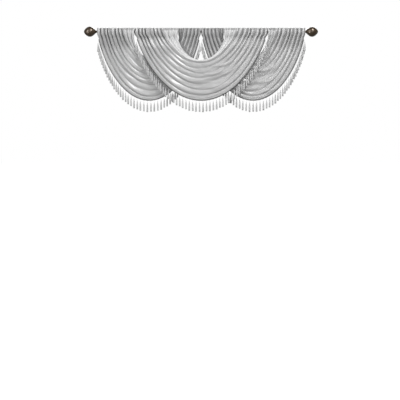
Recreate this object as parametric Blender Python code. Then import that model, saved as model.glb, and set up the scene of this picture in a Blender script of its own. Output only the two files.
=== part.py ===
# Three waterfall valances gathered on one rod with two turned finials, each valance with a tassel fringe.
import math
from collections import namedtuple

import bpy
import numpy as np

# Sizes in metres. X runs along the rod, the front faces -Y, and the rod's axis is at the origin's height.
ROD_RADIUS = 0.0125
ROD_HALF_LENGTH = 1.171
ROD_SIDES = 24
SEAT_GAP = 0.0003
FINIAL_SIDES = 20

CLOTH = 0.002
HEADING_TOP = 0.0415
POCKET_SEAM = -0.065
SWAG_STEPS = 16
FALL_AWAY = 0.12
RUFFLE_TILT = 0.8
RUFFLE_HEIGHT = 0.003

TAPE_GAP = 0.0004
TAPE_WIDTH = 0.006
TAPE_THICKNESS = 0.0024
TAPE_TOP = -0.078
TASSEL_PITCH = 0.038
ROOT_WIDTH = 0.004
TASSEL_STAGGER = 0.0045
CORNER_CLEARANCE = 0.0035

# A valance is drawn between three lines, each a hanging curve from the left heading to the right one:
# the hem, the crest of the topmost fold and the free edge behind the crest.
# left, right: where it meets the rod. drop: how far its middle hangs below the heading's top.
# fullness: the exponent of its curve, smaller for a squarer bottom.
# near, middle: how far it stands in front of the rod's plane under the heading and at its middle.
Line = namedtuple("Line", "left right drop fullness near middle")

LINES = {
    "left": (
        Line(-1.163, -0.006, 0.810, 0.66, -0.018, -0.020),
        Line(-0.872, -0.192, 0.405, 0.68, -0.016, -0.008),
        Line(-0.752, -0.246, 0.349, 0.30, -0.026, -0.032),
    ),
    "centre": (
        Line(-0.743, 0.749, 0.810, 0.73, 0.024, 0.030),
        Line(-0.440, 0.414, 0.371, 0.80, 0.030, 0.060),
        Line(-0.274, 0.274, 0.358, 0.50, 0.018, 0.034),
    ),
    "right": (
        Line(0.006, 1.170, 0.810, 0.66, -0.018, -0.020),
        Line(0.192, 0.846, 0.405, 0.68, -0.016, -0.008),
        Line(0.246, 0.757, 0.349, 0.40, -0.026, -0.032),
    ),
}

# One row for each gathered fold, from the hem to the crest.
# heading, drop: its place between hem and crest at the heading and at the middle.
# left, middle, right: how far its ridge stands out of the valleys beside it.
Fold = namedtuple("Fold", "heading drop left middle right")

FOLDS = (
    Fold(0.07, 0.05, 0.012, 0.007, 0.010),
    Fold(0.21, 0.17, 0.016, 0.013, 0.009),
    Fold(0.33, 0.33, 0.013, 0.017, 0.012),
    Fold(0.47, 0.51, 0.017, 0.014, 0.008),
    Fold(0.60, 0.63, 0.014, 0.012, 0.011),
    Fold(0.74, 0.75, 0.012, 0.010, 0.008),
    Fold(0.87, 0.87, 0.015, 0.014, 0.012),
)
CREST_RISE = 0.006
BAND_SHARES = (0.2, 0.6, 1.0)

# The section of the gathered heading, from the lower edge of the back layer over the rod to the seam.
# height, depth: the middle of the cloth, seen from the rod's axis, positive to the back.
# pleat: how much of a fold's rise moves it to the front. ruffle: 1 on the stand-up frill.
HeadingRow = namedtuple("HeadingRow", "height depth pleat ruffle")

HEADING_ROWS = (
    HeadingRow(-0.0600, 0.0017, 1.0, 0.0),
    HeadingRow(-0.0040, 0.0147, -0.5, 0.0),
    HeadingRow(0.0076, 0.0132, -0.3, 0.0),
    HeadingRow(0.0146, 0.0040, 0.0, 0.0),
    HeadingRow(HEADING_TOP, 0.0017, 0.0, 1.0),
    HeadingRow(HEADING_TOP, -0.0017, 0.0, 1.0),
    HeadingRow(0.0146, -0.0040, 0.0, 0.0),
    HeadingRow(0.0076, -0.0132, 0.3, 0.0),
    HeadingRow(-0.0040, -0.0147, 0.8, 0.0),
    HeadingRow(POCKET_SEAM, -0.0017, 1.0, 0.0),
)

# The rings of one tassel below its root: how far down, and its radius.
Ring = namedtuple("Ring", "down radius")

TASSEL_RINGS = (
    Ring(0.024, 0.0015),
    Ring(0.036, 0.0068),
    Ring(0.128, 0.0060),
)

# The turned profile of a finial: distance from the rod's end, and radius.
Turn = namedtuple("Turn", "along radius")

FINIAL_PROFILE = (
    Turn(0.000, 0.0125),
    Turn(0.006, 0.0135),
    Turn(0.020, 0.0265),
    Turn(0.037, 0.0415),
    Turn(0.055, 0.0530),
    Turn(0.076, 0.0574),
    Turn(0.098, 0.0525),
    Turn(0.116, 0.0415),
    Turn(0.131, 0.0265),
    Turn(0.140, 0.0120),
)
FINIAL_LENGTH = 0.144

SMOOTH_ANGLE = math.radians(50)


def material(name, colour, roughness, metallic):
    made = bpy.data.materials.new(name)
    made.use_nodes = True
    shader = made.node_tree.nodes["Principled BSDF"]
    shader.inputs["Base Color"].default_value = (*colour, 1.0)
    shader.inputs["Roughness"].default_value = roughness
    shader.inputs["Metallic"].default_value = metallic
    made.diffuse_color = (*colour, 1.0)
    made.roughness = roughness
    made.metallic = metallic
    return made


def mesh_object(name, points, faces, look):
    mesh = bpy.data.meshes.new(name)
    mesh.from_pydata([tuple(map(float, p)) for p in points], [], [tuple(map(int, f)) for f in faces])
    mesh.materials.append(look)
    mesh.polygons.foreach_set("use_smooth", [True] * len(mesh.polygons))
    mesh.set_sharp_from_angle(angle=SMOOTH_ANGLE)
    made = bpy.data.objects.new(name, mesh)
    bpy.context.scene.collection.objects.link(made)
    return made


def between(low, high, share):
    return low + (high - low) * share


def blend(first, second, share):
    return Line(*(between(a, b, share) for a, b in zip(first, second)))


def fold_columns():
    """(heading share, drop share, left, middle and right rise) of each ridge and valley, hem to crest."""
    columns = [(0.0, 0.0, 0.0, 0.0, 0.0)]
    for index, fold in enumerate(FOLDS):
        columns.append((fold.heading, fold.drop, fold.left, fold.middle, fold.right))
        if index + 1 < len(FOLDS):
            after = FOLDS[index + 1]
            valley = (fold.heading + after.heading) / 2, (fold.drop + after.drop) / 2
        else:
            valley = (fold.heading + 1) / 2, (fold.drop + 1) / 2
        columns.append((*valley, 0.0, 0.0, 0.0))
    columns.append((1.0, 1.0, CREST_RISE, CREST_RISE, CREST_RISE))
    return columns


def column_lines(lines):
    """Each column of a valance as its own line with its rises at the left, the middle and the right."""
    hem, crest, edge = lines
    columns = []
    for heading, drop, *rises in fold_columns():
        line = blend(hem, crest, drop)
        line = line._replace(
            left=between(hem.left, crest.left, heading), right=between(hem.right, crest.right, heading)
        )
        columns.append((line, rises))
    columns += [(blend(crest, edge, share), (0.0, 0.0, 0.0)) for share in BAND_SHARES]
    return columns


def angle_at(line, height):
    """How far from the middle of its hanging curve, in radians, a line passes this height."""
    share = (HEADING_TOP - height) / line.drop
    return math.acos(min(1.0, share ** (1 / (2 * line.fullness))))


def along(line, angle):
    return (line.left + line.right) / 2 + (line.right - line.left) / 2 * math.sin(angle)


def fall(height):
    """0 at the pocket's seam, 1 where the cloth hangs clear of the rod."""
    share = min(1.0, max(0.0, (POCKET_SEAM - height) / FALL_AWAY))
    return 1 - (1 - share) ** 2


def heading_points(line, rise, mean_rise, side):
    points = []
    for row in HEADING_ROWS:
        tilt = row.ruffle * RUFFLE_TILT * (rise - mean_rise)
        lift = row.ruffle * RUFFLE_HEIGHT * (rise - mean_rise) / mean_rise
        height = row.height + min(0.0, lift)
        x = along(line, side * angle_at(line, min(row.height, HEADING_TOP)))
        points.append((x, row.depth - row.pleat * rise - tilt, height))
    return points


def swag_points(line, rises):
    left, middle, right = rises
    end = angle_at(line, POCKET_SEAM)
    points = []
    for step in range(1, SWAG_STEPS):
        angle = between(-end, end, step / SWAG_STEPS)
        height = HEADING_TOP - line.drop * math.cos(angle) ** (2 * line.fullness)
        inward = math.cos(angle) ** 2
        rise = between(left if angle < 0 else right, middle, inward)
        stand = line.near * fall(height) + (line.middle - line.near) * inward
        points.append((along(line, angle), HEADING_ROWS[-1].depth - stand - rise, height))
    return points


def valance_grid(lines):
    """Points of the middle of the cloth: a column for each ridge and valley, a row for each step along it."""
    columns = column_lines(lines)
    mean_left = sum(rises[0] for _, rises in columns) / len(columns)
    mean_right = sum(rises[2] for _, rises in columns) / len(columns)
    grid = []
    for line, rises in columns:
        left = heading_points(line, rises[0], mean_left, -1)
        right = heading_points(line, rises[2], mean_right, 1)
        grid.append(left + swag_points(line, rises) + right[::-1])
    return np.array(grid)


def quad_triangles(grid):
    """Index triples over the grid, each quad split along its shorter diagonal."""
    columns, rows = grid.shape[:2]
    triangles = []
    for i in range(columns - 1):
        for j in range(rows - 1):
            a, b, c, d = (i, j), (i + 1, j), (i + 1, j + 1), (i, j + 1)
            if np.linalg.norm(grid[a] - grid[c]) < np.linalg.norm(grid[b] - grid[d]):
                triangles += [(a, b, c), (a, c, d)]
            else:
                triangles += [(a, b, d), (b, c, d)]
    return triangles


def offsets(grid, triangles):
    """At each grid point, the vector that moves every face beside it out by one unit."""
    normals = {}
    for corners in triangles:
        p, q, r = (grid[c] for c in corners)
        normal = np.cross(q - p, r - p)
        for corner in corners:
            normals.setdefault(corner, []).append(normal)
    moved = np.zeros_like(grid)
    for corner, around in normals.items():
        mean = sum(around)
        mean = mean / np.linalg.norm(mean)
        least = min(float(mean @ n) / np.linalg.norm(n) for n in around)
        moved[corner] = mean / max(least, 0.68)
    return moved


def sheet(name, grid, look):
    """A closed sheet of cloth round the grid, half its thickness to either side."""
    triangles = quad_triangles(grid)
    moved = offsets(grid, triangles)
    for row in range(grid.shape[1]):
        outward = grid[0, row] - grid[1, row]
        outward = outward / np.linalg.norm(outward)
        level = moved[0, row] - (moved[0, row] @ outward) * outward
        moved[0, row] = level / np.linalg.norm(level)
    columns, rows = grid.shape[:2]
    count = columns * rows
    front = (grid + moved * CLOTH / 2).reshape(-1, 3)
    back = (grid - moved * CLOTH / 2).reshape(-1, 3)

    def index(corner):
        return corner[0] * rows + corner[1]

    faces = []
    for a, b, c in triangles:
        faces.append((index(a), index(b), index(c)))
        faces.append((index(c) + count, index(b) + count, index(a) + count))
    rim = [(i, 0) for i in range(columns)]
    rim += [(columns - 1, j) for j in range(1, rows)]
    rim += [(i, rows - 1) for i in range(columns - 2, -1, -1)]
    rim += [(0, j) for j in range(rows - 2, 0, -1)]
    for here, there in zip(rim, rim[1:] + rim[:1]):
        faces.append((index(there), index(here), index(here) + count, index(there) + count))
    return mesh_object(name, np.concatenate([front, back]), faces, look)


def hem_stations(hem):
    """The tape's stations along the hem: each hem corner, and a tassel at every pitch clear of the corners."""
    lengths = np.linalg.norm(np.diff(hem, axis=0), axis=1)
    arc = np.concatenate([[0.0], np.cumsum(lengths)])
    count = int((arc[-1] - 2 * CORNER_CLEARANCE) // TASSEL_PITCH)
    start = (arc[-1] - count * TASSEL_PITCH) / 2
    tassels = start + TASSEL_PITCH * np.arange(count + 1)
    for corner in arc:
        for k, place in enumerate(tassels):
            if abs(place - corner) < CORNER_CLEARANCE:
                tassels[k] = corner + math.copysign(CORNER_CLEARANCE, place - corner)
    stations = [(corner, False) for corner in arc] + [(place, True) for place in tassels]
    return arc, sorted(stations)


def on_hem(hem, arc, place):
    return np.array([np.interp(place, arc, hem[:, axis]) for axis in range(3)])


def outward_of(hem, arc, place):
    """The direction away from the cloth at a place on the hem, in the hem's hanging plane."""
    step = ROOT_WIDTH / 2
    low, high = max(place - step, 0.0), min(place + step, arc[-1])
    tangent = on_hem(hem, arc, high) - on_hem(hem, arc, low)
    away = np.array([tangent[2], 0.0, -tangent[0]])
    return away / np.linalg.norm(away)


def wobble(index, turn):
    """A repeatable unevenness between -1 and 1."""
    return math.sin(2.4 * index + turn) * math.cos(0.7 * index + 2 * turn)


def clipped_hem(grid):
    """The hem of a grid between the two places where the tape begins."""
    line = grid[0]
    first = len(HEADING_ROWS) - 1
    line = line[first : len(line) - first]
    middle = len(line) // 2
    left_height, right_height = line[: middle + 1, 2], line[middle:, 2]
    left = [np.interp(-TAPE_TOP, -left_height, line[: middle + 1, axis]) for axis in range(3)]
    right = [np.interp(TAPE_TOP, right_height, line[middle:, axis]) for axis in range(3)]
    inner = line[line[:, 2] < TAPE_TOP - CORNER_CLEARANCE]
    return np.array([left, *inner, right])


def fringe(name, hem, look):
    """A tape along the hem, a small gap from the cloth, with three-sided tassels hanging from it."""
    arc, stations = hem_stations(hem)
    points, faces = [], []

    def add(point):
        points.append(point)
        return len(points) - 1

    def tape_point(place, down, side):
        away = outward_of(hem, arc, place)
        return on_hem(hem, arc, place) + away * down + np.array([0.0, side * TAPE_THICKNESS / 2, 0.0])

    before = None
    tassel = 0
    for place, has_tassel in stations:
        top = add(tape_point(place, TAPE_GAP, 0))
        back = add(tape_point(place, TAPE_GAP + TAPE_WIDTH, 1))
        if has_tassel:
            low = add(tape_point(place - ROOT_WIDTH / 2, TAPE_GAP + TAPE_WIDTH, -1))
            high = add(tape_point(place + ROOT_WIDTH / 2, TAPE_GAP + TAPE_WIDTH, -1))
            faces.append((top, low, high))
            ring = (low, high, back)
            centre = (points[low] + points[high] + points[back]) / 3
            swing = TASSEL_STAGGER * (1 if tassel % 2 else -1)
            longer = 1 + 0.03 * wobble(tassel, 1.0)
            for level in TASSEL_RINGS:
                lean = 0.0015 * wobble(tassel, 2.0) * level.down / TASSEL_RINGS[-1].down
                x = centre[0] + lean
                y = centre[1] + swing * min(1.0, level.down / TASSEL_RINGS[0].down)
                z = centre[2] - level.down * longer
                wide = level.radius * math.cos(math.radians(30))
                below = (
                    add(np.array([x - wide, y - level.radius / 2, z])),
                    add(np.array([x + wide, y - level.radius / 2, z])),
                    add(np.array([x, y + level.radius, z])),
                )
                for k in range(3):
                    after = (k + 1) % 3
                    faces.append((ring[k], below[k], below[after]))
                    faces.append((ring[k], below[after], ring[after]))
                ring = below
            faces.append(ring[::-1])
            tassel += 1
        else:
            low = high = add(tape_point(place, TAPE_GAP + TAPE_WIDTH, -1))
        if before is None:
            faces.append((top, back, low))
        else:
            old_top, old_front, old_back = before
            faces += [(old_top, old_front, low), (old_top, low, top)]
            faces += [(old_back, old_top, top), (old_back, top, back)]
            faces += [(old_front, old_back, back), (old_front, back, low)]
        before = top, high, back
    faces.append(before)
    return mesh_object(name, points, faces, look)


def turned(name, stations, sides, end, look):
    """A body turned round the X axis: stations of (x, radius) with x rising, closed by flat ends or an end point."""
    points, faces = [], []
    for x, radius in stations:
        for k in range(sides):
            turn = 2 * math.pi * k / sides
            points.append((x, radius * math.cos(turn), radius * math.sin(turn)))
    for ring in range(len(stations) - 1):
        for k in range(sides):
            a = ring * sides + k
            b = ring * sides + (k + 1) % sides
            faces.append((a, b, b + sides, a + sides))
    last = (len(stations) - 1) * sides
    if end is None:
        faces.append(tuple(last + k for k in range(sides)))
    else:
        points.append((end, 0.0, 0.0))
        faces += [(last + k, last + (k + 1) % sides, len(points) - 1) for k in range(sides)]
    faces.append(tuple(range(sides - 1, -1, -1)))
    return mesh_object(name, points, faces, look)


def finial(name, side, look):
    start = ROD_HALF_LENGTH + SEAT_GAP
    stations = [(start + turn.along, turn.radius) for turn in FINIAL_PROFILE]
    made = turned(name, stations, FINIAL_SIDES, start + FINIAL_LENGTH, look)
    if side < 0:
        made.data.transform([(-1, 0, 0, 0), (0, -1, 0, 0), (0, 0, 1, 0), (0, 0, 0, 1)])
        made.data.update()
    return made


def main():
    for old in list(bpy.data.objects):
        bpy.data.objects.remove(old, do_unlink=True)
    satin = {
        "left": material("satin_left", (0.50, 0.50, 0.50), 0.42, 0.0),
        "centre": material("satin_centre", (0.52, 0.52, 0.515), 0.42, 0.0),
        "right": material("satin_right", (0.50, 0.50, 0.50), 0.42, 0.0),
    }
    yarn = {side: material(f"yarn_{side}", (0.58, 0.58, 0.58), 0.6, 0.0) for side in LINES}
    rod_metal = material("rod_bronze", (0.10, 0.065, 0.040), 0.35, 0.9)
    turned("rod", [(-ROD_HALF_LENGTH, ROD_RADIUS), (ROD_HALF_LENGTH, ROD_RADIUS)], ROD_SIDES, None, rod_metal)
    finial("finial_left", -1, material("finial_left_bronze", (0.16, 0.11, 0.065), 0.32, 0.85))
    finial("finial_right", 1, material("finial_right_bronze", (0.16, 0.11, 0.065), 0.32, 0.85))
    for side, lines in LINES.items():
        grid = valance_grid(lines)
        sheet(f"valance_{side}", grid, satin[side])
        fringe(f"fringe_{side}", clipped_hem(grid), yarn[side])


main()
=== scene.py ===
import math
from collections import namedtuple

import bpy
import numpy as np
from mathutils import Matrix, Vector


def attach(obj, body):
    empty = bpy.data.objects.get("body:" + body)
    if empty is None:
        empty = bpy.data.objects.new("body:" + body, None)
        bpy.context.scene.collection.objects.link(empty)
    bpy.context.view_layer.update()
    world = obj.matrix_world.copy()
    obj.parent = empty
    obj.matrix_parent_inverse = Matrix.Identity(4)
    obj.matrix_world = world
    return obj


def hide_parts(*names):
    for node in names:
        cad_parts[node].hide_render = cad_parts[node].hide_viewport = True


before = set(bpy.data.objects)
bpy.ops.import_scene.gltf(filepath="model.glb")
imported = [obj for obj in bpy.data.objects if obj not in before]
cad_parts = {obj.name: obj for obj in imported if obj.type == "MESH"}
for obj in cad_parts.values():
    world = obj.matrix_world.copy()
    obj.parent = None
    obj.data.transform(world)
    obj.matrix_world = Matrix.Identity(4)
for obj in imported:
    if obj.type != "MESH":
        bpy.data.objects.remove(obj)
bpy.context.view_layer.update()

# Sizes in metres, in the frame of the solids.
FINIAL_START = 1.1713
FINIAL_LENGTH = 0.144
HEADING_TOP = 0.0415
POCKET_SEAM = -0.065
CLOTH = 0.0012
TAPE_TOP = -0.078
TAPE_CLEARANCE = 0.0035

# How far below the pocket's seam a swag stands at its own depth, how far down the gathers reach,
# and how soon they fade on the way, more being sooner.
FALL_AWAY = 0.12
GATHER_DROP = 0.30
GATHER_FADE = 1.6

# How finely the meshes are divided.
FINIAL_SIDES = 48
FINIAL_STEPS = 5
MAIN_COLUMNS = 166
BAND_COLUMNS = 30
SWAG_ROWS = 176
HEADING_STEPS = 3

# Rows at each end where the band shows satin like the rest, being the pocket's back and the frill,
# and how many rows past the middle of a side valance the band still takes the paler reverse as painted light
# towards its inner heading; nearer that heading it keeps the satin as painted shade, where it lies in shadow
# in the centre cowl.
FRILL_ROWS = 27
PAINTED_BAND_LIGHT_REACH = 40

# The curves that a valance hangs in: its hem, its crest, where the cowl turns over, and its free edge.
# left, right: where it starts and ends along the rod. drop: how far it hangs below the heading's top.
# fullness: the power that shapes its curve, less being fuller.
# near, middle: how far it stands out towards the room near the headings and in the middle.
Line = namedtuple("Line", "left right drop fullness near middle")

LINES = {
    "left": (
        Line(-1.163, -0.006, 0.810, 0.66, -0.018, -0.020),
        Line(-0.872, -0.192, 0.405, 0.68, -0.016, -0.008),
        Line(-0.752, -0.246, 0.349, 0.30, -0.026, -0.032),
    ),
    "centre": (
        Line(-0.743, 0.749, 0.810, 0.73, 0.024, 0.030),
        Line(-0.440, 0.414, 0.371, 0.80, 0.030, 0.060),
        Line(-0.274, 0.274, 0.358, 0.50, 0.018, 0.034),
    ),
    "right": (
        Line(0.006, 1.170, 0.810, 0.66, -0.018, -0.020),
        Line(0.192, 0.846, 0.405, 0.68, -0.016, -0.008),
        Line(0.246, 0.757, 0.349, 0.40, -0.026, -0.032),
    ),
}

# The seven main folds. heading, drop: shares of the way from hem to crest, at the heading and in the swag.
# left, middle, right: how far the fold rises there.
Fold = namedtuple("Fold", "heading drop left middle right")

FOLDS = (
    Fold(0.07, 0.05, 0.012, 0.007, 0.010),
    Fold(0.21, 0.17, 0.016, 0.013, 0.009),
    Fold(0.33, 0.33, 0.013, 0.017, 0.012),
    Fold(0.47, 0.51, 0.017, 0.014, 0.008),
    Fold(0.60, 0.63, 0.014, 0.012, 0.011),
    Fold(0.74, 0.75, 0.012, 0.010, 0.008),
    Fold(0.87, 0.87, 0.015, 0.014, 0.012),
)
CREST_RISE = 0.006

# How each of those folds is modelled: what its rise is multiplied by at the left, the middle and the right,
# and how narrow its top is at the left and at the right (1 is a plain round one, more is narrower).
# lap: how far its top is drawn over towards the hem at the headings, 0 being none.
# The last row is the crest's.
Ridge = namedtuple("Ridge", "left middle right keen_left keen_right lap")

RIDGES = (
    Ridge(1.10, 0.50, 1.60, 1.0, 0.9, 0.15),
    Ridge(1.25, 0.56, 2.20, 1.1, 0.9, 0.40),
    Ridge(1.05, 0.26, 1.40, 1.1, 1.1, 0.15),
    Ridge(1.20, 0.40, 2.40, 1.2, 0.9, 0.40),
    Ridge(0.75, 0.22, 1.20, 1.0, 1.1, 0.10),
    Ridge(0.95, 0.32, 2.60, 1.2, 0.9, 0.45),
    Ridge(0.42, 0.20, 1.20, 1.0, 1.0, 0.20),
    Ridge(1.00, 1.00, 1.00, 1.0, 1.0, 0.0),
)

# The lap that all of them have in the middle.
LAP_MIDDLE = 0.18

# How far the folds stray from their places on the way across, and how soon the crest's rise dies out
# towards the free edge, more being sooner.
WANDER = 0.32
BAND_FADE = 3

# The side valances' inner headings, seen inside the centre cowl, are a few broad pleats instead.
# crowding: below 1 they are closer together at the hem. keenness: below 1 their tops are broad.
INNER_PLEATS = 5
INNER_RISE = 0.034
INNER_CROWDING = 0.9
INNER_KEENNESS = 0.7

# The crevices of a left heading, one at each valley from hem to crest: how deep and how wide.
# A right heading has them in the reverse order.
Groove = namedtuple("Groove", "depth width")

GROOVES = (
    Groove(0.4, 0.30),
    Groove(1.0, 0.30),
    Groove(0.7, 0.50),
    Groove(1.1, 0.32),
    Groove(0.6, 0.60),
    Groove(1.2, 0.30),
    Groove(0.9, 0.45),
    Groove(1.0, 0.35),
)

# How long a ridge holds its height on the way from a heading to the middle, more being longer.
HELD_LEFT = 6.0
HELD_RIGHT = 1.2

# Lesser ridges that run from the left heading and die out in the swag.
# place: in the order of the folds, 1 for each of them. reach: how far across, as a share of the way.
Lesser = namedtuple("Lesser", "place width rise reach")

LESSERS = (
    Lesser(0.80, 0.07, 0.0030, 0.46),
    Lesser(1.62, 0.07, 0.0035, 0.60),
    Lesser(2.70, 0.08, 0.0030, 0.44),
    Lesser(3.66, 0.07, 0.0040, 0.66),
    Lesser(4.64, 0.08, 0.0030, 0.50),
    Lesser(5.68, 0.07, 0.0040, 0.62),
    Lesser(6.60, 0.09, 0.0030, 0.55),
)

# Where each heading begins and ends on the rod above the pocket's seam: hem side, then free edge.
HEADINGS = {
    "left": ((-1.165, -0.7490), (-0.0030, -0.2580)),
    "centre": ((-0.7450, -0.2610), (0.7510, 0.2610)),
    "right": ((0.0030, 0.2580), (1.170, 0.7540)),
}

# The height above which a heading's columns are fully at those places.
EASE_TOP = -0.020

# The hem's seam: how far up from the edge in the order of the folds and valleys, and how wide and deep.
SEAM_PLACE = 0.85
SEAM_WIDTH = 0.14
SEAM_DEPTH = 0.0022

# Where a swag hangs smooth, right of its middle: the sine of the angle along it and the width in that,
# the ridges it takes in, over how many ridges it sets in, and what share of their rise it takes away.
CALM_MIDDLE = 0.36
CALM_WIDTH = 0.30
CALM_RIDGES = (2.0, 6.6)
CALM_EDGE = 0.8
CALM_SHARE = 0.72

# Soft folds of the band between crest and free edge: how many, and how far they stand out at the heading.
# crowding: below 1 they are closer together at the crest.
BAND_FOLDS = 2.6
BAND_RISE = 0.025
BAND_CROWDING = 0.8

# How far the small gathers of a heading stand out, and the least share of that in the frill and the pocket.
GATHER_RISE = 0.021
LEAST_GATHER = 0.35

# Unevenness over a swag, in the directions across the folds and along them.
Uneven = namedtuple("Uneven", "size across along seed")

# As a share of the rise, then in metres.
UNEVEN_RISE = Uneven(0.20, 7, 3.1, 0)
UNEVEN_CLOTH = Uneven(0.0010, 19, 9.0, 4)

# Ripples along the frill: how large, how close together and how they turn from heading to heading.
Ripple = namedtuple("Ripple", "size pitch turn")

# How much the gathers spread in the frill, its tilt to the front and back, and the unevenness of its height.
FRILL_SPREAD = 1.1
FRILL_TILT = Ripple(0.0055, 46, 3)
FRILL_LIFTS = (Ripple(0.0036, 43, 1), Ripple(0.0026, 97, 2))

# How much the ripples of a right heading are turned against those of the left one.
RIGHT_TURN = 2.7

# A heading's section, from the pocket's back over the frill to the seam in front.
# depth: towards the wall. pleat: how much of the gathers stands out towards the room.
# ruffle: how much the frill spreads and ripples.
HeadingRow = namedtuple("HeadingRow", "height depth pleat ruffle")

HEADING_ROWS = (
    HeadingRow(-0.0600, 0.0017, 1.0, 0.0),
    HeadingRow(-0.0300, 0.0085, 0.2, 0.0),
    HeadingRow(-0.0040, 0.0147, -0.5, 0.0),
    HeadingRow(0.0076, 0.0132, -0.3, 0.0),
    HeadingRow(0.0146, 0.0062, 0.0, 0.30),
    HeadingRow(0.0200, 0.0010, 0.4, 0.3),
    HeadingRow(HEADING_TOP, -0.0085, 0.8, 0.5),
    HeadingRow(HEADING_TOP, -0.0130, 0.8, 0.5),
    HeadingRow(0.0200, -0.0140, 0.9, 0.3),
    HeadingRow(0.0146, -0.0143, 1.0, 0.1),
    HeadingRow(0.0076, -0.0146, 1.05, 0.0),
    HeadingRow(-0.0040, -0.0147, 1.1, 0.0),
    HeadingRow(-0.0350, -0.0110, 1.1, 0.0),
    HeadingRow(POCKET_SEAM, -0.0017, 1.0, 0.0),
)

# Soft ridges and troughs laid on the swags, in the hanging plane.
# x, z: from one end to the other. width: to either side. rise: out of the cloth, or into it where negative.
Crease = namedtuple("Crease", "x0 z0 x1 z1 width rise")

# How far a crease bows and over what stretch it dies out at each end, as shares of its length.
CREASE_BOW = 0.10
CREASE_TAPER = 0.3

CREASES = {
    "left": (
        Crease(-0.62, -0.55, -0.38, -0.52, 0.018, 0.0042),
        Crease(-0.52, -0.66, -0.26, -0.56, 0.020, 0.0048),
        Crease(-0.90, -0.34, -0.74, -0.52, 0.014, -0.0030),
    ),
    "centre": (
        Crease(0.02, -0.475, 0.28, -0.415, 0.018, 0.0066),
        Crease(0.06, -0.640, 0.33, -0.520, 0.022, 0.0078),
        Crease(0.14, -0.385, 0.37, -0.310, 0.014, 0.0054),
        Crease(0.05, -0.550, 0.36, -0.440, 0.018, -0.0048),
        Crease(0.30, -0.250, 0.47, -0.060, 0.018, -0.0042),
        Crease(0.22, -0.700, 0.45, -0.540, 0.016, 0.0042),
        Crease(-0.22, -0.560, 0.02, -0.600, 0.014, -0.0030),
        Crease(0.20, -0.500, 0.42, -0.340, 0.014, 0.0048),
    ),
    "right": (
        Crease(0.58, -0.440, 0.88, -0.360, 0.020, 0.0066),
        Crease(0.60, -0.570, 0.92, -0.460, 0.022, 0.0066),
        Crease(0.60, -0.505, 0.88, -0.415, 0.016, -0.0042),
        Crease(0.88, -0.260, 1.00, -0.080, 0.018, -0.0042),
        Crease(0.66, -0.670, 0.92, -0.590, 0.018, 0.0048),
        Crease(0.52, -0.640, 0.66, -0.610, 0.014, 0.0030),
    ),
}


def material(name, colour, roughness, **sockets):
    """sockets: values for other inputs of the shader, with _ for each space in the label."""
    made = bpy.data.materials.new(name)
    made.use_nodes = True
    shader = made.node_tree.nodes["Principled BSDF"]
    shader.inputs["Base Color"].default_value = (*colour, 1.0)
    shader.inputs["Roughness"].default_value = roughness
    for label, value in sockets.items():
        shader.inputs[label.replace("_", " ")].default_value = value
    return made, made.node_tree, shader


def noise_bump(tree, shader, scale, stretch, strength, distance, detail=3.0):
    """Fine relief from a noise that is stretched along the object's axes."""
    place = tree.nodes.new("ShaderNodeTexCoord")
    turn = tree.nodes.new("ShaderNodeMapping")
    turn.inputs["Scale"].default_value = stretch
    noise = tree.nodes.new("ShaderNodeTexNoise")
    noise.inputs["Scale"].default_value = scale
    noise.inputs["Detail"].default_value = detail
    bump = tree.nodes.new("ShaderNodeBump")
    bump.inputs["Strength"].default_value = strength
    bump.inputs["Distance"].default_value = distance
    tree.links.new(place.outputs["Object"], turn.inputs["Vector"])
    tree.links.new(turn.outputs["Vector"], noise.inputs["Vector"])
    tree.links.new(noise.outputs["Fac"], bump.inputs["Height"])
    tree.links.new(bump.outputs["Normal"], shader.inputs["Normal"])
    return noise


def satin_material():
    made, tree, shader = material("satin_face", (0.38, 0.38, 0.38), 0.36, IOR=1.85)
    noise_bump(tree, shader, 40.0, (1.0, 1.0, 3.0), 0.05, 0.0012, 1.0)
    return made


# The cloth's reverse, duller than the face, shows behind; its paler tone also serves on the band's front as
# painted light, for the sheen the upturned band catches.
def reverse_and_painted_light_material():
    made, tree, shader = material("satin_reverse_and_painted_light", (0.56, 0.56, 0.56), 0.5)
    noise_bump(tree, shader, 40.0, (1.0, 1.0, 3.0), 0.05, 0.0010, 1.0)
    return made


def yarn_material():
    made, tree, shader = material("yarn", (0.49, 0.49, 0.49), 0.5)
    noise_bump(tree, shader, 420.0, (1.0, 1.0, 0.25), 0.35, 0.0008)
    return made


def bronze_material():
    gloss = {"Metallic": 0.6, "Coat_Weight": 1.0, "Coat_Roughness": 0.28}
    made, tree, shader = material("bronze", (0.16, 0.11, 0.065), 0.32, **gloss)
    noise = noise_bump(tree, shader, 60.0, (1.0, 1.0, 1.0), 0.10, 0.0004)
    ramp = tree.nodes.new("ShaderNodeValToRGB")
    ramp.color_ramp.elements[0].position = 0.35
    ramp.color_ramp.elements[0].color = (0.042, 0.025, 0.010, 1.0)
    ramp.color_ramp.elements[1].position = 0.70
    ramp.color_ramp.elements[1].color = (0.090, 0.055, 0.026, 1.0)
    tree.links.new(noise.outputs["Fac"], ramp.inputs["Fac"])
    tree.links.new(ramp.outputs["Color"], shader.inputs["Base Color"])
    return made


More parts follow.
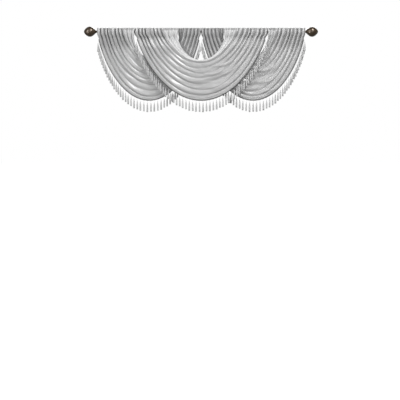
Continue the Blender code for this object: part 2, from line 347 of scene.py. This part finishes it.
def mesh_piece(name, points, faces, looks, face_looks=None):
    """A smooth-shaded object. faces: an array of quads or triangles, or a list of any faces."""
    mesh = bpy.data.meshes.new(name)
    points = np.asarray(points, np.float64)
    if isinstance(faces, np.ndarray):
        mesh.vertices.add(len(points))
        mesh.vertices.foreach_set("co", points.ravel())
        sides = faces.shape[1]
        mesh.loops.add(faces.size)
        mesh.loops.foreach_set("vertex_index", faces.astype(np.int32).ravel())
        mesh.polygons.add(len(faces))
        mesh.polygons.foreach_set("loop_start", np.arange(0, faces.size, sides, dtype=np.int32))
        mesh.update(calc_edges=True)
    else:
        mesh.from_pydata([tuple(p) for p in points], [], faces)
    for look in looks:
        mesh.materials.append(look)
    if face_looks is not None:
        mesh.polygons.foreach_set("material_index", np.asarray(face_looks, np.int32))
    mesh.polygons.foreach_set("use_smooth", np.full(len(mesh.polygons), True))
    mesh.validate()
    made = bpy.data.objects.new(name, mesh)
    bpy.context.scene.collection.objects.link(made)
    return made


def fold_table():
    """Ridges and valleys from hem to crest: heading share, drop share and the three rises of each."""
    columns = [(0.0, 0.0, 0.0, 0.0, 0.0)]
    for index, fold in enumerate(FOLDS):
        columns.append((fold.heading, fold.drop, fold.left, fold.middle, fold.right))
        after = FOLDS[index + 1] if index + 1 < len(FOLDS) else Fold(1, 1, 0, 0, 0)
        columns.append(((fold.heading + after.heading) / 2, (fold.drop + after.drop) / 2, 0.0, 0.0, 0.0))
    columns.append((1.0, 1.0, CREST_RISE, CREST_RISE, CREST_RISE))
    return np.array(columns)


def soft_noise(a, b, seed):
    """A smooth unevenness of about -1 to 1 over two coordinates."""
    return (
        np.sin(1.7 * a + 2.3 * b + seed)
        + np.sin(3.1 * a - 1.9 * b + 1.7 * seed)
        + np.sin(0.9 * a + 4.3 * b + 2.9 * seed)
    ) / 3


def smooth_step(t):
    return t * t * (3 - 2 * t)


# How often the heading's corners are rounded, and how many rows into the swag that goes.
ROUNDINGS = 2
ROUNDED_PAST = 4


class Panel:
    """The fine surface of one valance: columns from hem to free edge, rows from heading to heading."""

    def __init__(self, side, seed):
        self.side = side
        self.seed = seed
        hem, crest, edge = (np.array(line) for line in LINES[side])
        table = fold_table()
        knots = np.arange(len(table), dtype=float)
        place = np.linspace(0, knots[-1], MAIN_COLUMNS)
        heading = np.interp(place, knots, table[:, 0])
        drop = np.interp(place, knots, table[:, 1])
        main = hem + (crest - hem) * drop[:, None]
        main[:, 0] = hem[0] + (crest[0] - hem[0]) * heading
        main[:, 1] = hem[1] + (crest[1] - hem[1]) * heading
        share = np.linspace(0, 1, BAND_COLUMNS + 1)[1:]
        band = crest + (edge - crest) * share[:, None]
        self.lines = np.concatenate([main, band])
        self.heading = np.concatenate([heading, 1 + share])
        self.is_band = np.arange(len(self.lines)) >= MAIN_COLUMNS
        self.place = place
        self.table = table

    def wandered(self, share):
        """The columns' places among the ridges, which stray a little on the way across."""
        wander = np.sin(0.9 * self.place + 5.0 * share + self.seed)
        wander = wander * np.sin(0.23 * self.place + 9.0 * share)
        strayed = self.place + WANDER * wander * np.clip(self.place / 2, 0, 1)
        return np.clip(strayed, 0, self.place[-1])

    def profile(self, share):
        """Each column's rises at the left, the middle and the right.

        share: of the way from the left heading to the right one, which the ridges are shaped for.
        """
        place = self.wandered(share)
        ridge = np.minimum((place // 2).astype(int), len(RIDGES) - 1)
        table = np.array(RIDGES)[ridge]
        across = place - (2 * ridge + 1)
        lap = table[:, 5]
        peak = -(lap + (LAP_MIDDLE - lap) * math.sin(math.pi * share) ** 2)
        up = np.where(across < peak, (across + 1) / (1 + peak), (1 - across) / (1 - peak))
        up = np.where(ridge == len(RIDGES) - 1, np.clip(across + 1, 0, 1), up)
        keen = table[:, 3] + (table[:, 4] - table[:, 3]) * share
        shape = np.sin(np.clip(up, 0, 1) * math.pi / 2) ** keen
        heights = self.table[np.minimum(2 * ridge + 1, len(self.table) - 1), 2:]
        rises = np.zeros((len(self.lines), 3))
        rises[:MAIN_COLUMNS] = heights * table[:, :3] * shape[:, None]
        fade = np.linspace(1, 0, BAND_COLUMNS + 1)[1:] ** BAND_FADE
        rises[MAIN_COLUMNS:] = CREST_RISE * fade[:, None]
        return rises

    def is_inner(self, share):
        """Whether the nearer heading is one that shows in the centre valance's cowl."""
        return (self.side == "left" and share >= 0.5) or (self.side == "right" and share < 0.5)

    def outer_rise(self, share, rises):
        """The rise at the heading that is nearer."""
        if not self.is_inner(share):
            return rises[:, 0] if share < 0.5 else rises[:, 2]
        turns = INNER_PLEATS * np.clip(self.heading, 0, 1) ** INNER_CROWDING
        swell = 0.5 - 0.5 * np.cos(2 * math.pi * turns)
        pleats = INNER_RISE * swell**INNER_KEENNESS + CREST_RISE * self.heading
        return np.where(self.is_band, rises[:, 0], pleats)

    def calm(self, angle):
        """How much of the ridges stays: all of it, but less on the smooth stretch right of the middle."""
        low, high = CALM_RIDGES
        order = np.full(len(self.lines), 2.0 * high)
        order[:MAIN_COLUMNS] = self.place / 2
        inside = np.clip((order - low) / CALM_EDGE, 0, 1) * np.clip((high - order) / CALM_EDGE, 0, 1)
        reach = np.exp(-(((np.sin(angle) - CALM_MIDDLE) / CALM_WIDTH) ** 4))
        return 1 - CALM_SHARE * inside * reach

    def lessers(self, share):
        total = np.zeros(len(self.lines))
        for ridge in LESSERS:
            fade = np.clip(1 - share / ridge.reach, 0, 1)
            shape = np.exp(-(((self.place / 2 - ridge.place) / ridge.width) ** 2))
            total[:MAIN_COLUMNS] += ridge.rise * shape * fade * fade * (3 - 2 * fade)
        return total

    def angle_at(self, height):
        share = np.clip((HEADING_TOP - height) / self.lines[:, 2], 0, 1)
        return np.arccos(np.clip(share ** (1 / (2 * self.lines[:, 3])), 0, 1))

    def along(self, angle):
        left, right = self.lines[:, 0], self.lines[:, 1]
        return (left + right) / 2 + (right - left) / 2 * np.sin(angle)

    def gathers(self, reach, share):
        """The crevices of the heading and the soft folds of its band, fading down the swag."""
        place = self.wandered(share)
        valley = np.round(place / 2)
        order = np.minimum(valley, len(GROOVES) - 1).astype(int)
        table = np.array(GROOVES if share < 0.5 else GROOVES[::-1])[order]
        shape = np.full(len(self.lines), 0.0 if self.is_inner(share) else 1.0)
        if not self.is_inner(share):
            shape[:MAIN_COLUMNS] -= table[:, 0] * np.exp(-(((place - 2 * valley) / table[:, 1]) ** 2))
        shape = np.maximum(shape, 0.0)
        band_share = np.clip(self.heading - 1, 0, 1)
        folds = 0.5 - 0.5 * np.cos(BAND_FOLDS * 2 * math.pi * band_share**BAND_CROWDING)
        return reach * (GATHER_RISE * shape + BAND_RISE * folds)

    def ease(self, x, side, height):
        """Spreads a heading's columns over its stretch of the rod, fully above the pocket's seam."""
        share = smooth_step(np.clip((height - POCKET_SEAM) / (EASE_TOP - POCKET_SEAM), 0, 1))
        hem, edge = HEADINGS[self.side][0 if side < 0 else 1]
        part = (x - x[0]) / (x[-1] - x[0])
        return x + share * ((hem + (edge - hem) * part) - x)

    def uneven(self, kind, angle):
        return kind.size * soft_noise(self.heading * kind.across, angle * kind.along, self.seed + kind.seed)

    def heading_row(self, row, side):
        share = 0.0 if side < 0 else 1.0
        turn = self.seed + RIGHT_TURN * share
        rises = self.outer_rise(share, self.profile(share)) + self.lessers(share)
        reach = LEAST_GATHER + (1 - LEAST_GATHER) * min(1.0, abs(row.pleat) + row.ruffle)
        rise = rises + self.gathers(reach, share)
        ripple = FRILL_TILT.size * np.sin(FRILL_TILT.pitch * self.heading + FRILL_TILT.turn * turn)
        tilt = row.ruffle * (FRILL_SPREAD * (rise - rise.mean()) + ripple)
        lifts = [wave.size * np.sin(wave.pitch * self.heading + wave.turn * turn) for wave in FRILL_LIFTS]
        height = row.height + row.ruffle**2 * sum(lifts)
        x = self.ease(self.along(side * self.angle_at(row.height)), side, row.height)
        return np.stack([x, row.depth - row.pleat * rise - tilt, height], axis=1)

    def swag_row(self, share):
        end = self.angle_at(POCKET_SEAM)
        angle = -end + 2 * end * share
        height = HEADING_TOP - self.lines[:, 2] * np.cos(angle) ** (2 * self.lines[:, 3])
        inward = np.cos(angle) ** 2
        rises = self.profile(share)
        outer = self.outer_rise(share, rises)
        drift = 1 + self.uneven(UNEVEN_RISE, angle) * inward
        held = inward ** (HELD_LEFT if share < 0.5 else HELD_RIGHT)
        rise = (outer + (rises[:, 1] - outer) * held) * drift * self.calm(angle) + self.lessers(share)
        rise[:MAIN_COLUMNS] -= SEAM_DEPTH * np.exp(-(((self.place - SEAM_PLACE) / SEAM_WIDTH) ** 2))
        below = np.clip((POCKET_SEAM - height) / GATHER_DROP, 0, 1)
        rise = rise + self.gathers((1 - below) ** GATHER_FADE, share)
        rise = rise + self.uneven(UNEVEN_CLOTH, angle) * inward
        fall = smooth_step(np.clip((POCKET_SEAM - height) / FALL_AWAY, 0, 1))
        stand = self.lines[:, 4] * fall + (self.lines[:, 5] - self.lines[:, 4]) * inward
        x = self.along(angle)
        rise = rise + self.creases(x, height)
        return np.stack([x, HEADING_ROWS[-1].depth - stand - rise, height], axis=1)

    def creases(self, x, z):
        total = np.zeros_like(x)
        inside = np.where(self.is_band, 0.0, 1.0)
        for crease in CREASES[self.side]:
            start = np.array([crease.x0, crease.z0])
            run = np.array([crease.x1, crease.z1]) - start
            length = np.linalg.norm(run)
            unit = run / length
            dx, dz = x - start[0], z - start[1]
            t = (dx * unit[0] + dz * unit[1]) / length
            bow = CREASE_BOW * length * np.sin(math.pi * np.clip(t, 0, 1))
            d = dx * -unit[1] + dz * unit[0] + bow
            ends = np.clip(t / CREASE_TAPER, 0, 1) * np.clip((1 - t) / CREASE_TAPER, 0, 1)
            total += crease.rise * np.exp(-((d / crease.width) ** 2)) * ends
        return total * inside

    def grid(self):
        """Points by column and row: over the left heading, along the swag and back over the right one."""
        rows = []
        for first, second in zip(HEADING_ROWS, HEADING_ROWS[1:]):
            for step in range(HEADING_STEPS):
                part = step / HEADING_STEPS
                rows.append(HeadingRow(*(a + (b - a) * part for a, b in zip(first, second))))
        rows.append(HEADING_ROWS[-1])
        left = [self.heading_row(row, -1) for row in rows]
        right = [self.heading_row(row, 1) for row in rows]
        swag = [self.swag_row(step / SWAG_ROWS) for step in range(1, SWAG_ROWS)]
        self.swag_start = len(left)
        grid = np.stack(left + swag + right[::-1], axis=1)
        return self.smooth_joins(grid)

    def smooth_joins(self, grid):
        """Rounds the corners of the heading's section and its joins to the swag."""
        first = len(HEADING_ROWS) * HEADING_STEPS
        past = first + ROUNDED_PAST
        rows = list(range(1, past)) + list(range(grid.shape[1] - past, grid.shape[1] - 1))
        for _ in range(ROUNDINGS):
            old = grid.copy()
            for j in rows:
                grid[:, j, 1:] = 0.5 * old[:, j, 1:] + 0.25 * (old[:, j - 1, 1:] + old[:, j + 1, 1:])
        return grid


def sheet_mesh(name, side, grid, looks):
    """A closed thin sheet round the grid: satin to the front and the reverse behind. The band's front, the
    same face as the satin, takes the paler reverse as painted light, but keeps the satin as painted shade
    towards a side valance's inner heading.
    """
    columns, rows = grid.shape[:2]
    du = np.gradient(grid, axis=0)
    dv = np.gradient(grid, axis=1)
    normal = np.cross(dv, du)
    normal /= np.linalg.norm(normal, axis=2, keepdims=True) + 1e-12
    front = (grid + normal * CLOTH / 2).reshape(-1, 3)
    back = (grid - normal * CLOTH / 2).reshape(-1, 3)
    count = columns * rows
    index = np.arange(count).reshape(columns, rows)
    a, b = index[:-1, :-1], index[1:, :-1]
    c, d = index[1:, 1:], index[:-1, 1:]
    face = np.stack([a, d, c, b], axis=2).reshape(-1, 4)
    behind = np.stack([a, b, c, d], axis=2).reshape(-1, 4) + count
    rim = np.concatenate([index[:, 0], index[-1, 1:], index[-2::-1, -1], index[0, -2:0:-1]])
    after = np.roll(rim, -1)
    edge = np.stack([rim, after, after + count, rim + count], axis=1)
    # Front faces of the band given the paler reverse as painted light; towards a side valance's inner
    # heading they keep the darker satin as painted shade.
    band_painted_light = np.zeros((columns - 1, rows - 1), int)
    band_painted_light[MAIN_COLUMNS:, FRILL_ROWS : rows - FRILL_ROWS] = 1
    middle = rows // 2
    if side == "left":
        band_painted_light[:, middle + PAINTED_BAND_LIGHT_REACH :] = 0
    if side == "right":
        band_painted_light[:, : middle - PAINTED_BAND_LIGHT_REACH] = 0
    points = np.concatenate([front, back])
    faces = np.concatenate([face, behind, edge])
    face_looks = np.concatenate([band_painted_light.ravel(), np.ones(len(behind), int), np.zeros(len(edge), int)])
    return mesh_piece(name, points, faces, looks, face_looks)


def tube(points, radii, sides, spin=0.0):
    """Level rings round a hanging line, joined by quads and open at both ends: the points and the quads."""
    turn = spin + 2 * math.pi * np.arange(sides) / sides
    rings = []
    for (x, y, z), radius in zip(points, radii):
        ring = [x + radius * np.cos(turn), y + radius * np.sin(turn), np.full(sides, z)]
        rings.append(np.stack(ring, axis=1))
    verts = np.concatenate(rings)
    k = np.arange(sides)
    after = (k + 1) % sides
    quads = []
    for ring in range(len(rings) - 1):
        up, low = ring * sides, (ring + 1) * sides
        quads.append(np.stack([up + k, low + k, low + after, up + after], axis=1))
    return verts, np.concatenate(quads)


def wobble(index, turn):
    """An uneven number from about -1 to 1 for each index."""
    return math.sin(2.4 * index + turn) * math.cos(0.7 * index + 2 * turn)


Ring = namedtuple("Ring", "down radius")

# One tassel below its root: a thin cord, a bound head and a skirt that widens to its cut end.
TASSEL = (
    Ring(-0.002, 0.0011),
    Ring(0.022, 0.0010),
    Ring(0.0245, 0.0030),
    Ring(0.029, 0.0044),
    Ring(0.034, 0.0040),
    Ring(0.0365, 0.0030),
    Ring(0.040, 0.0036),
    Ring(0.052, 0.0070),
    Ring(0.080, 0.0084),
    Ring(0.110, 0.0088),
    Ring(0.124, 0.0090),
    Ring(0.1255, 0.0010),
)

# The tape's section: how far below the hem's edge, and how far behind the middle of the cloth.
# It laps the hem's front, so that its dark colour, partly a gimp's own and partly painted shade, draws the
# dark line along the hem's edge.
TAPE = (
    (-0.0055, -0.0012),
    (-0.0055, -0.0026),
    (0.0062, -0.0018),
    (0.0062, 0.0012),
    (0.0010, 0.0010),
    (0.0010, -0.0012),
)

# How far apart its stations are along the hem, and the slight wave of its edges.
TAPE_STATION = 0.006
TAPE_WAVE = 0.0005
TAPE_WAVE_PITCH = 900

# Tassels on each fringe, how far apart they are along the hem where they have the room,
# and the bare tape at each end where they haven't.
TASSELS = {"left": 50, "centre": 56, "right": 51}
TASSEL_PITCH = 0.038
CORNER_CLEARANCE = 0.0035

# The depth that a fringe's tassels swing out to from roots further back, clear of the cloth behind them,
# and how far below the root they reach it. A depth behind every root leaves them as they are.
FRONT = {"left": 1.0, "centre": -0.030, "right": 1.0}
FRONT_REACHED = 0.05

# How a tassel hangs: its root on the tape, its cord's length, how far it swings to front or back in turn,
# how far it stands off the hem, how much it leans, and how it varies in length and girth.
# TASSEL_TURN: how much each is turned against the one before.
# NEARBY: how far to either side of it the hem's direction is taken.
ROOT_DROP = 0.0062
CORD = 0.024
SWING = 0.0045
STAND_OFF = 0.008
LEAN = 0.0015
LENGTH = 0.128
VARIED_LENGTH = 0.03
VARIED_GIRTH = 0.10
TASSEL_SIDES = 10
TASSEL_TURN = 1.1
NEARBY = 0.002

# The strands round a skirt: how many, and each one's rings by how far down they are and how thick.
STRANDS = 12
STRAND_SIDES = 4
STRAND = (
    Ring(0.038, 0.0007),
    Ring(0.050, 0.0010),
    Ring(0.080, 0.0011),
    Ring(0.110, 0.0010),
    Ring(0.126, 0.0005),
)

# How far round a strand strays, in radians, and how much its end varies.
STRAND_DRIFT = 0.35
STRAND_END = 0.006


def hem_line(grid, first):
    """The hem between the headings, as far up as the tape goes."""
    line = grid[0, first : grid.shape[1] - first]
    return line[line[:, 2] < TAPE_TOP - TAPE_CLEARANCE]


def at_length(line, arc, place):
    return np.array([np.interp(place, arc, line[:, axis]) for axis in range(3)])


def fringe_mesh(name, hem, tassels, front, looks):
    """front: the depth that tassels from roots further back swing out to, where cloth hangs behind them."""
    lengths = np.linalg.norm(np.diff(hem, axis=0), axis=1)
    arc = np.concatenate([[0.0], np.cumsum(lengths)])
    pitch = min(TASSEL_PITCH, (arc[-1] - 2 * CORNER_CLEARANCE) / (tassels - 1))
    start = (arc[-1] - (tassels - 1) * pitch) / 2
    verts, faces, offset = [], [], 0

    def put(v, f):
        nonlocal offset
        verts.append(v)
        faces.append(f + offset)
        offset += len(v)

    stations = np.arange(0, arc[-1], TAPE_STATION)
    path = np.array([at_length(hem, arc, s) for s in stations])
    tangent = np.gradient(path, axis=0)
    away = np.stack([tangent[:, 2], np.zeros(len(path)), -tangent[:, 0]], axis=1)
    away /= np.linalg.norm(away, axis=1, keepdims=True)
    wave = TAPE_WAVE * np.sin(stations * TAPE_WAVE_PITCH)[:, None]
    out = np.array([0.0, 1.0, 0.0])
    corners = [path + away * (down + wave) + out * behind for down, behind in TAPE]
    sides = len(corners)
    band = np.stack(corners, axis=1).reshape(-1, 3)
    quads = []
    for i in range(len(path) - 1):
        for k in range(sides):
            here, after = sides * i + k, sides * i + (k + 1) % sides
            quads.append((here, here + sides, after + sides, after))
    for end in (0, sides * (len(path) - 1)):
        caps = [(end, end + 1, end + 4, end + 5), (end + 1, end + 2, end + 3, end + 4)]
        quads += caps if end == 0 else [cap[::-1] for cap in caps]
    put(band, np.array(quads))
    tape_faces = len(quads)
    skirt_downs = [ring.down for ring in TASSEL[:-1]]
    skirt_radii = [ring.radius for ring in TASSEL[:-1]]
    last = len(STRAND) - 1
    for k in range(tassels):
        place = start + pitch * k
        here = at_length(hem, arc, place)
        before = at_length(hem, arc, max(place - NEARBY, 0))
        ahead = at_length(hem, arc, min(place + NEARBY, arc[-1])) - before
        side = np.array([ahead[2], 0.0, -ahead[0]])
        side /= np.linalg.norm(side)
        root = here + side * ROOT_DROP
        swing = SWING * (1 if k % 2 else -1)
        longer = 1 + VARIED_LENGTH * wobble(k, 1.0)
        lean = LEAN * wobble(k, 2.0)
        forward = max(0.0, root[1] - front)

        def centre(down):
            corded = min(1.0, max(down, 0.0) / CORD)
            x = root[0] + lean * down / LENGTH + side[0] * STAND_OFF * corded
            y = root[1] + swing * corded - forward * min(1.0, max(down, 0.0) / FRONT_REACHED)
            return x, y, root[2] - down * longer

        fat = 1 + VARIED_GIRTH * wobble(k, 3.0)
        spin = TASSEL_TURN * k
        radii = [ring.radius * fat for ring in TASSEL]
        put(*tube([centre(ring.down) for ring in TASSEL], radii, TASSEL_SIDES, spin))
        for strand in range(STRANDS):
            turn = spin + 2 * math.pi * strand / STRANDS
            drift = STRAND_DRIFT * wobble(k * 7 + strand, 0.5)
            ends = STRAND_END * wobble(k * 5 + strand, 1.9)
            points = []
            for n, ring in enumerate(STRAND):
                spread = np.interp(ring.down, skirt_downs, skirt_radii) * fat
                x, y, z = centre(ring.down + (ends if n == last else 0.0))
                angle = turn + drift * n / last
                points.append((x + spread * math.cos(angle), y + spread * math.sin(angle), z))
            put(*tube(points, [ring.radius for ring in STRAND], STRAND_SIDES, turn))
    faces = np.concatenate(faces)
    return mesh_piece(name, np.concatenate(verts), faces, looks, np.arange(len(faces)) < tape_faces)


Turn = namedtuple("Turn", "along radius")

# A finial's outline from the rod's end to its tip.
FINIAL_PROFILE = (
    Turn(0.000, 0.0125),
    Turn(0.006, 0.0135),
    Turn(0.020, 0.0265),
    Turn(0.037, 0.0415),
    Turn(0.055, 0.0530),
    Turn(0.076, 0.0574),
    Turn(0.098, 0.0525),
    Turn(0.116, 0.0415),
    Turn(0.131, 0.0265),
    Turn(0.140, 0.0120),
    Turn(FINIAL_LENGTH, 0.0),
)


def smooth_curve(knots, steps):
    """Points on a smooth curve through the knots."""
    ends = np.concatenate([[2 * knots[0] - knots[1]], knots, [2 * knots[-1] - knots[-2]]])
    points = []
    for a, b, c, d in zip(ends, ends[1:], ends[2:], ends[3:]):
        for step in range(steps):
            t = step / steps
            bend = (2 * a - 5 * b + 4 * c - d) * t**2
            twist = (3 * b - a - 3 * c + d) * t**3
            points.append(0.5 * (2 * b + (c - a) * t + bend + twist))
    return np.array(points)


def finial_mesh(name, side, look):
    outline = smooth_curve(np.array(FINIAL_PROFILE), FINIAL_STEPS)
    turn = side * 2 * math.pi * np.arange(FINIAL_SIDES) / FINIAL_SIDES
    rings = []
    for along, radius in outline:
        level = np.full(FINIAL_SIDES, side * (FINIAL_START + along))
        rings.append(np.stack([level, radius * np.cos(turn), radius * np.sin(turn)], 1))
    tip = [[side * (FINIAL_START + FINIAL_LENGTH), 0.0, 0.0]]
    points = np.concatenate(rings + [tip])
    faces = [tuple(range(FINIAL_SIDES - 1, -1, -1))]
    last = (len(rings) - 1) * FINIAL_SIDES
    for k in range(FINIAL_SIDES):
        after = (k + 1) % FINIAL_SIDES
        faces += [
            (low + k, low + after, low + FINIAL_SIDES + after, low + FINIAL_SIDES + k)
            for low in range(0, last, FINIAL_SIDES)
        ]
        faces.append((last + k, last + after, len(points) - 1))
    return mesh_piece(name, points, faces, [look])


satin = satin_material()
reverse_and_painted_light = reverse_and_painted_light_material()
yarn = yarn_material()
bronze = bronze_material()
# A near-black gimp tape: its tone is partly its own colour and partly painted shade for the shadow along the
# hem's edge.
tape_and_painted_shade = material("tape_and_painted_shade", (0.09, 0.09, 0.09), 0.6)[0]

# The flat cut of a valance: a trapezoid as long as the draped hem below and as the draped free edge above,
# and as high as gives it the area of the draped cloth and a few per cent more.
Cut = namedtuple("Cut", "hem edge height")

# Each valance's own number for its unevenness.
FIRST_SEED = 0.9
NEXT_SEED = 1.7

for number, side in enumerate(LINES):
    panel = Panel(side, FIRST_SEED + NEXT_SEED * number)
    grid = panel.grid()
    cloth = sheet_mesh(f"cloth_{side}", side, grid, [satin, reverse_and_painted_light])
    hem = hem_line(grid, panel.swag_start - 1)
    fringe = fringe_mesh(f"tassels_{side}", hem, TASSELS[side], FRONT[side], [yarn, tape_and_painted_shade])
    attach(cloth, "root")
    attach(fringe, "root")
    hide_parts(f"valance_{side}")
    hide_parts(f"fringe_{side}")

for name, side in {"left": -1, "right": 1}.items():
    finial = finial_mesh(f"knob_{name}", side, bronze)
    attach(finial, "root")
    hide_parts(f"finial_{name}")
for slot in bpy.data.objects["rod"].material_slots:
    slot.material = bronze

# Camera at the valance's height, square to it and turned a little down, as the photo has it high up.
CAMERA_X = -0.011
CAMERA_HEIGHT = -0.35
CAMERA_AIM = -1.897
DISTANCE = 18.81
camera_data = bpy.data.cameras.new("camera")
camera_data.lens = 150
camera_data.clip_end = 200
camera = bpy.data.objects.new("camera", camera_data)
bpy.context.scene.collection.objects.link(camera)
camera.location = (CAMERA_X, -DISTANCE, CAMERA_HEIGHT)
aim = Vector((CAMERA_X, 0.0, CAMERA_AIM)) - camera.location
camera.rotation_euler = aim.to_track_quat("-Z", "Y").to_euler()
bpy.context.scene.camera = camera

# A white room: how bright it looks to the camera, and how bright it is on the things in it.
SEEN_STRENGTH = 1.0
LIT_STRENGTH = 0.22
world = bpy.data.worlds.new("studio")
world.use_nodes = True
bpy.context.scene.world = world
nodes = world.node_tree.nodes
nodes.clear()


def background(strength):
    made = nodes.new("ShaderNodeBackground")
    made.inputs["Color"].default_value = (1.0, 1.0, 1.0, 1.0)
    made.inputs["Strength"].default_value = strength
    return made


lit = background(LIT_STRENGTH)
seen = background(SEEN_STRENGTH)
path = nodes.new("ShaderNodeLightPath")
mix = nodes.new("ShaderNodeMixShader")
out = nodes.new("ShaderNodeOutputWorld")
world.node_tree.links.new(path.outputs["Is Camera Ray"], mix.inputs["Fac"])
world.node_tree.links.new(lit.outputs["Background"], mix.inputs[1])
world.node_tree.links.new(seen.outputs["Background"], mix.inputs[2])
world.node_tree.links.new(mix.outputs["Shader"], out.inputs["Surface"])


# Lights, all turned to one point. size: width and height in metres. power: in watts.
AreaLight = namedtuple("AreaLight", "name place size power")

LIGHT_AIM = Vector((0.0, 0.0, -0.4))
LIGHTS = (
    AreaLight("above", (3.2, -4.6, 5.2), (3.0, 4.0), 520),
    AreaLight("left", (-7.6, -5.0, 0.6), (2.2, 9.0), 560),
    AreaLight("front", (1.0, -8.0, 0.5), (4.0, 4.0), 90),
    AreaLight("high", (0.0, -6.5, 5.0), (12.0, 0.9), 150),
    AreaLight("behind", (1.0, 7.0, 2.5), (5.0, 3.0), 260),
)
for name, place, size, power in LIGHTS:
    light_data = bpy.data.lights.new(name, "AREA")
    light_data.shape = "RECTANGLE"
    light_data.size, light_data.size_y = size
    light_data.energy = power
    light = bpy.data.objects.new(name, light_data)
    light.location = place
    light.rotation_euler = (LIGHT_AIM - Vector(place)).to_track_quat("-Z", "Y").to_euler()
    bpy.context.scene.collection.objects.link(light)

# A pale floor far below, which gives off some light itself and casts none on the valances.
FLOOR_REACH = 14
FLOOR_HEIGHT = -2.3
floor_look, _, floor_shader = material("floor", (0.92, 0.92, 0.92), 0.9)
floor_shader.inputs["Emission Color"].default_value = (1.0, 1.0, 1.0, 1.0)
floor_shader.inputs["Emission Strength"].default_value = 0.75
sides = ((-1, -1), (1, -1), (1, 1), (-1, 1))
corners = [(FLOOR_REACH * x, FLOOR_REACH * y, FLOOR_HEIGHT) for x, y in sides]
floor = mesh_piece("floor", corners, [(0, 1, 2, 3)], [floor_look])
floor.visible_diffuse = False
floor.visible_glossy = False
floor.visible_shadow = False

bpy.context.scene.view_settings.view_transform = "Standard"
